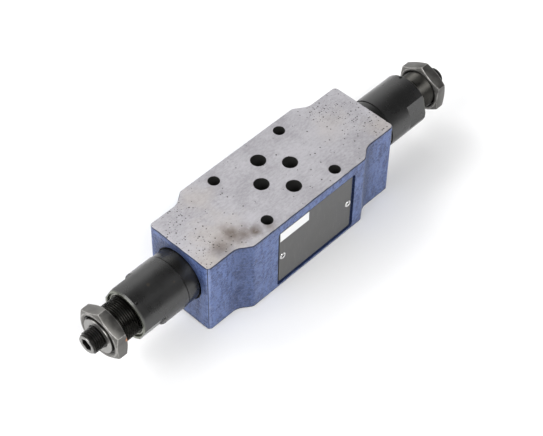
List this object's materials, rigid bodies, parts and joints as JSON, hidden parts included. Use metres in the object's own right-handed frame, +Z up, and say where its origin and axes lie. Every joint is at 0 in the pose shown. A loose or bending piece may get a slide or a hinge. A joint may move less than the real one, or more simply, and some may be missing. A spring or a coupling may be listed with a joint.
{
  "type": "hydraulic sandwich valve",
  "caption": "Hydraulic sandwich valve: a ported iron block with bolt holes and a screw-in relief cartridge, with adjuster and lock nut, at each end.",
  "frame": {"origin": "centre of the block's underside, 0.5 mm from the line through ports P and T", "axes": "+X along the cartridges to the end of port B, +Y to port P, +Z up to the valve above"},
  "size_m": [0.216, 0.0433, 0.04],
  "materials": {
    "iron_painted": "blue paint on the cast sides, ground bare metal on top and underside",
    "plate_metal": "dark anodised",
    "rivet_steel": "bright",
    "sleeve_steel": "blackened, lightly oiled",
    "ring_steel": "dark spring steel",
    "bush_steel": "turned, darkened thread",
    "stem_steel": "blackened, bright end face",
    "nut_steel": "dull bright",
    "inner_steel": "ground",
    "spring_steel": "oiled",
    "seal_rubber": "soft"
  },
  "bodies": {
    "valve": {"valve_body": "iron_painted", "type_plate": "plate_metal", "plate_rivet_left": "rivet_steel", "plate_rivet_right": "rivet_steel", "port_seal_p": "seal_rubber", "port_seal_t": "seal_rubber", "port_seal_a": "seal_rubber", "port_seal_b": "seal_rubber", "a_housing": "sleeve_steel", "a_stop_ring": "ring_steel", "a_thread_seal": "seal_rubber", "a_main_sleeve": "inner_steel", "a_nose_seal": "seal_rubber", "a_pilot_seat": "inner_steel", "a_main_spring": "spring_steel", "a_pilot_spring": "spring_steel", "b_housing": "sleeve_steel", "b_stop_ring": "ring_steel", "b_thread_seal": "seal_rubber", "b_main_sleeve": "inner_steel", "b_nose_seal": "seal_rubber", "b_pilot_seat": "inner_steel", "b_main_spring": "spring_steel", "b_pilot_spring": "spring_steel"},
    "a_plate": {"a_spring_plate": "inner_steel", "a_plate_seal": "seal_rubber"},
    "a_adjuster": {"a_adjusting_bush": "bush_steel", "a_hex_stem": "stem_steel"},
    "a_nut": {"a_lock_nut": "nut_steel"},
    "a_piston": {"a_main_piston": "inner_steel"},
    "a_cone": {"a_pilot_poppet": "inner_steel"},
    "b_plate": {"b_spring_plate": "inner_steel", "b_plate_seal": "seal_rubber"},
    "b_adjuster": {"b_adjusting_bush": "bush_steel", "b_hex_stem": "stem_steel"},
    "b_nut": {"b_lock_nut": "nut_steel"},
    "b_piston": {"b_main_piston": "inner_steel"},
    "b_cone": {"b_pilot_poppet": "inner_steel"}
  },
  "joints": [
    {"name": "a_plate_slide", "type": "slide", "parent": "valve", "child": "a_plate", "axis": [-1, 0, 0], "range_m": [-0.006, 0], "deforming": ["a_pilot_spring"]},
    {"name": "a_adjuster_turn", "type": "hinge", "parent": "a_plate", "child": "a_adjuster", "pos_m": [-0.09, 0, 0.0234], "axis": [-1, 0, 0], "range_deg": [-2160, 0]},
    {"name": "a_nut_turn", "type": "hinge", "parent": "a_adjuster", "child": "a_nut", "pos_m": [-0.0985, 0, 0.0234], "axis": [-1, 0, 0], "range_deg": [-180, 180]},
    {"name": "a_piston_lift", "type": "slide", "parent": "valve", "child": "a_piston", "axis": [-1, 0, 0], "range_m": [0, 0.003], "stiffness_N_per_m": 3000, "springref_m": -0.003, "deforming": ["a_main_spring"]},
    {"name": "a_cone_lift", "type": "slide", "parent": "valve", "child": "a_cone", "axis": [-1, 0, 0], "range_m": [0, 0.0015], "stiffness_N_per_m": 4000, "springref_m": -0.002, "deforming": ["a_pilot_spring"]},
    {"name": "b_plate_slide", "type": "slide", "parent": "valve", "child": "b_plate", "axis": [1, 0, 0], "range_m": [-0.006, 0], "deforming": ["b_pilot_spring"]},
    {"name": "b_adjuster_turn", "type": "hinge", "parent": "b_plate", "child": "b_adjuster", "pos_m": [0.09, 0, 0.0234], "axis": [1, 0, 0], "range_deg": [-2160, 0]},
    {"name": "b_nut_turn", "type": "hinge", "parent": "b_adjuster", "child": "b_nut", "pos_m": [0.0985, 0, 0.0234], "axis": [1, 0, 0], "range_deg": [-180, 180]},
    {"name": "b_piston_lift", "type": "slide", "parent": "valve", "child": "b_piston", "axis": [1, 0, 0], "range_m": [0, 0.003], "stiffness_N_per_m": 3000, "springref_m": -0.003, "deforming": ["b_main_spring"]},
    {"name": "b_cone_lift", "type": "slide", "parent": "valve", "child": "b_cone", "axis": [1, 0, 0], "range_m": [0, 0.0015], "stiffness_N_per_m": 4000, "springref_m": -0.002, "deforming": ["b_pilot_spring"]}
  ],
  "couplings": [
    {"joint": "a_adjuster_turn", "follows": "a_plate_slide", "rad_per_m": 6283.2},
    {"joint": "b_adjuster_turn", "follows": "b_plate_slide", "rad_per_m": 6283.2}
  ]
}
